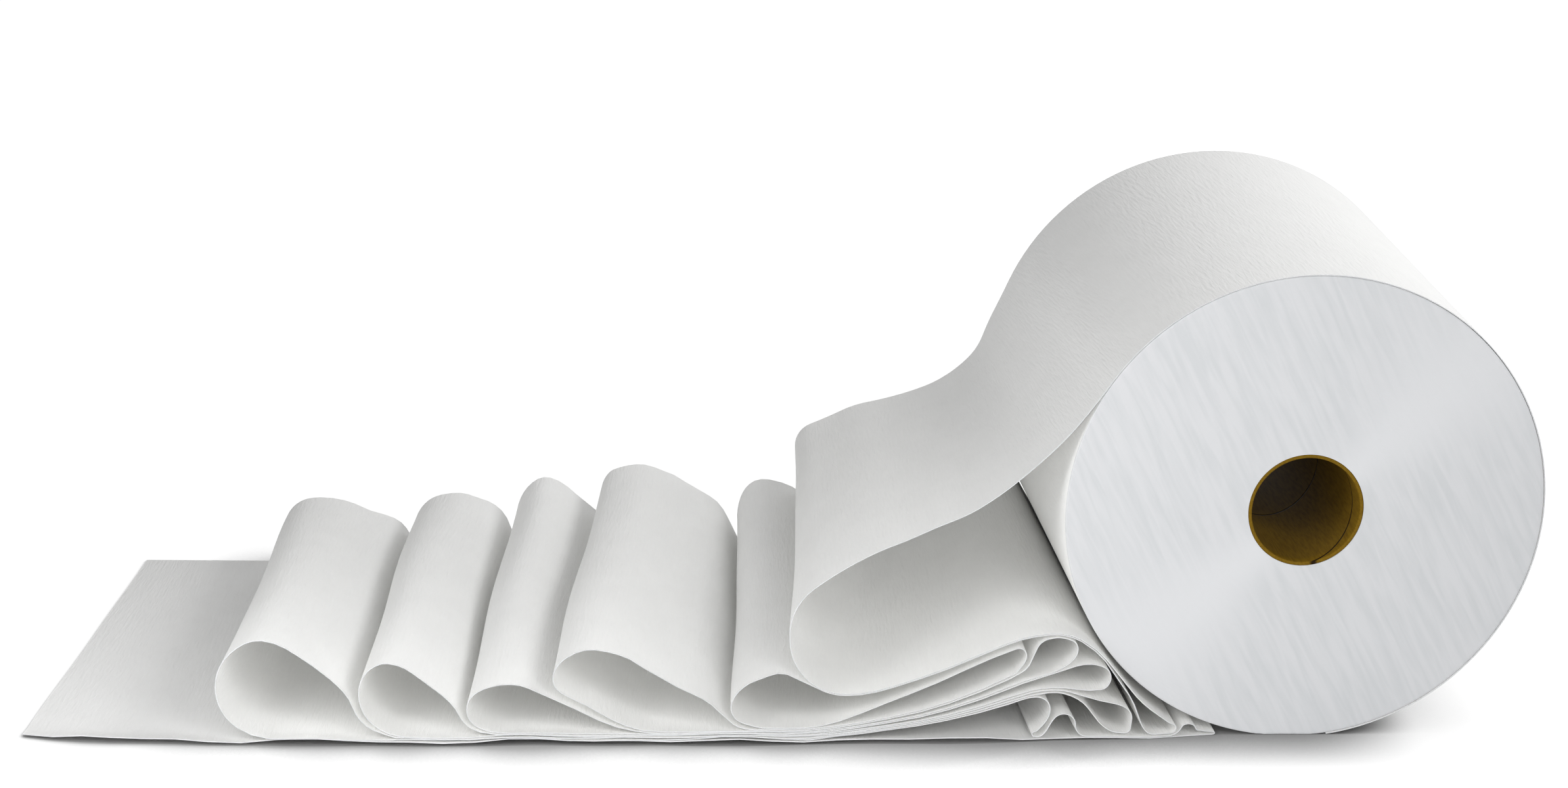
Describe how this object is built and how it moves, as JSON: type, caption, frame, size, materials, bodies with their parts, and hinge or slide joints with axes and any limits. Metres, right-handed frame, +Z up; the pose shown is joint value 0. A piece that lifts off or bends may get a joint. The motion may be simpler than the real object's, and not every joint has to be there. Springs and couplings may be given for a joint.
{
  "type": "paper towel roll",
  "caption": "Wound roll of white paper towel lying on its side on a brown cardboard core, with its loose end pulled out and laid in soft folds on the floor beside it",
  "frame": {"origin": "on the floor in the flat spot under the roll, straight below the roll's axis and halfway along it", "axes": "+X points away from the loose tail, +Y runs along the roll's axis from the near end face to the far one, +Z is up"},
  "size_m": [0.6119, 0.203, 0.1966],
  "materials": {
    "towel_paper": "white creped tissue, matt",
    "core_board": "spiral-wound brown kraft board, matt"
  },
  "bodies": {
    "root": {"paper_web": "towel_paper", "core": "core_board"}
  },
  "joints": []
}
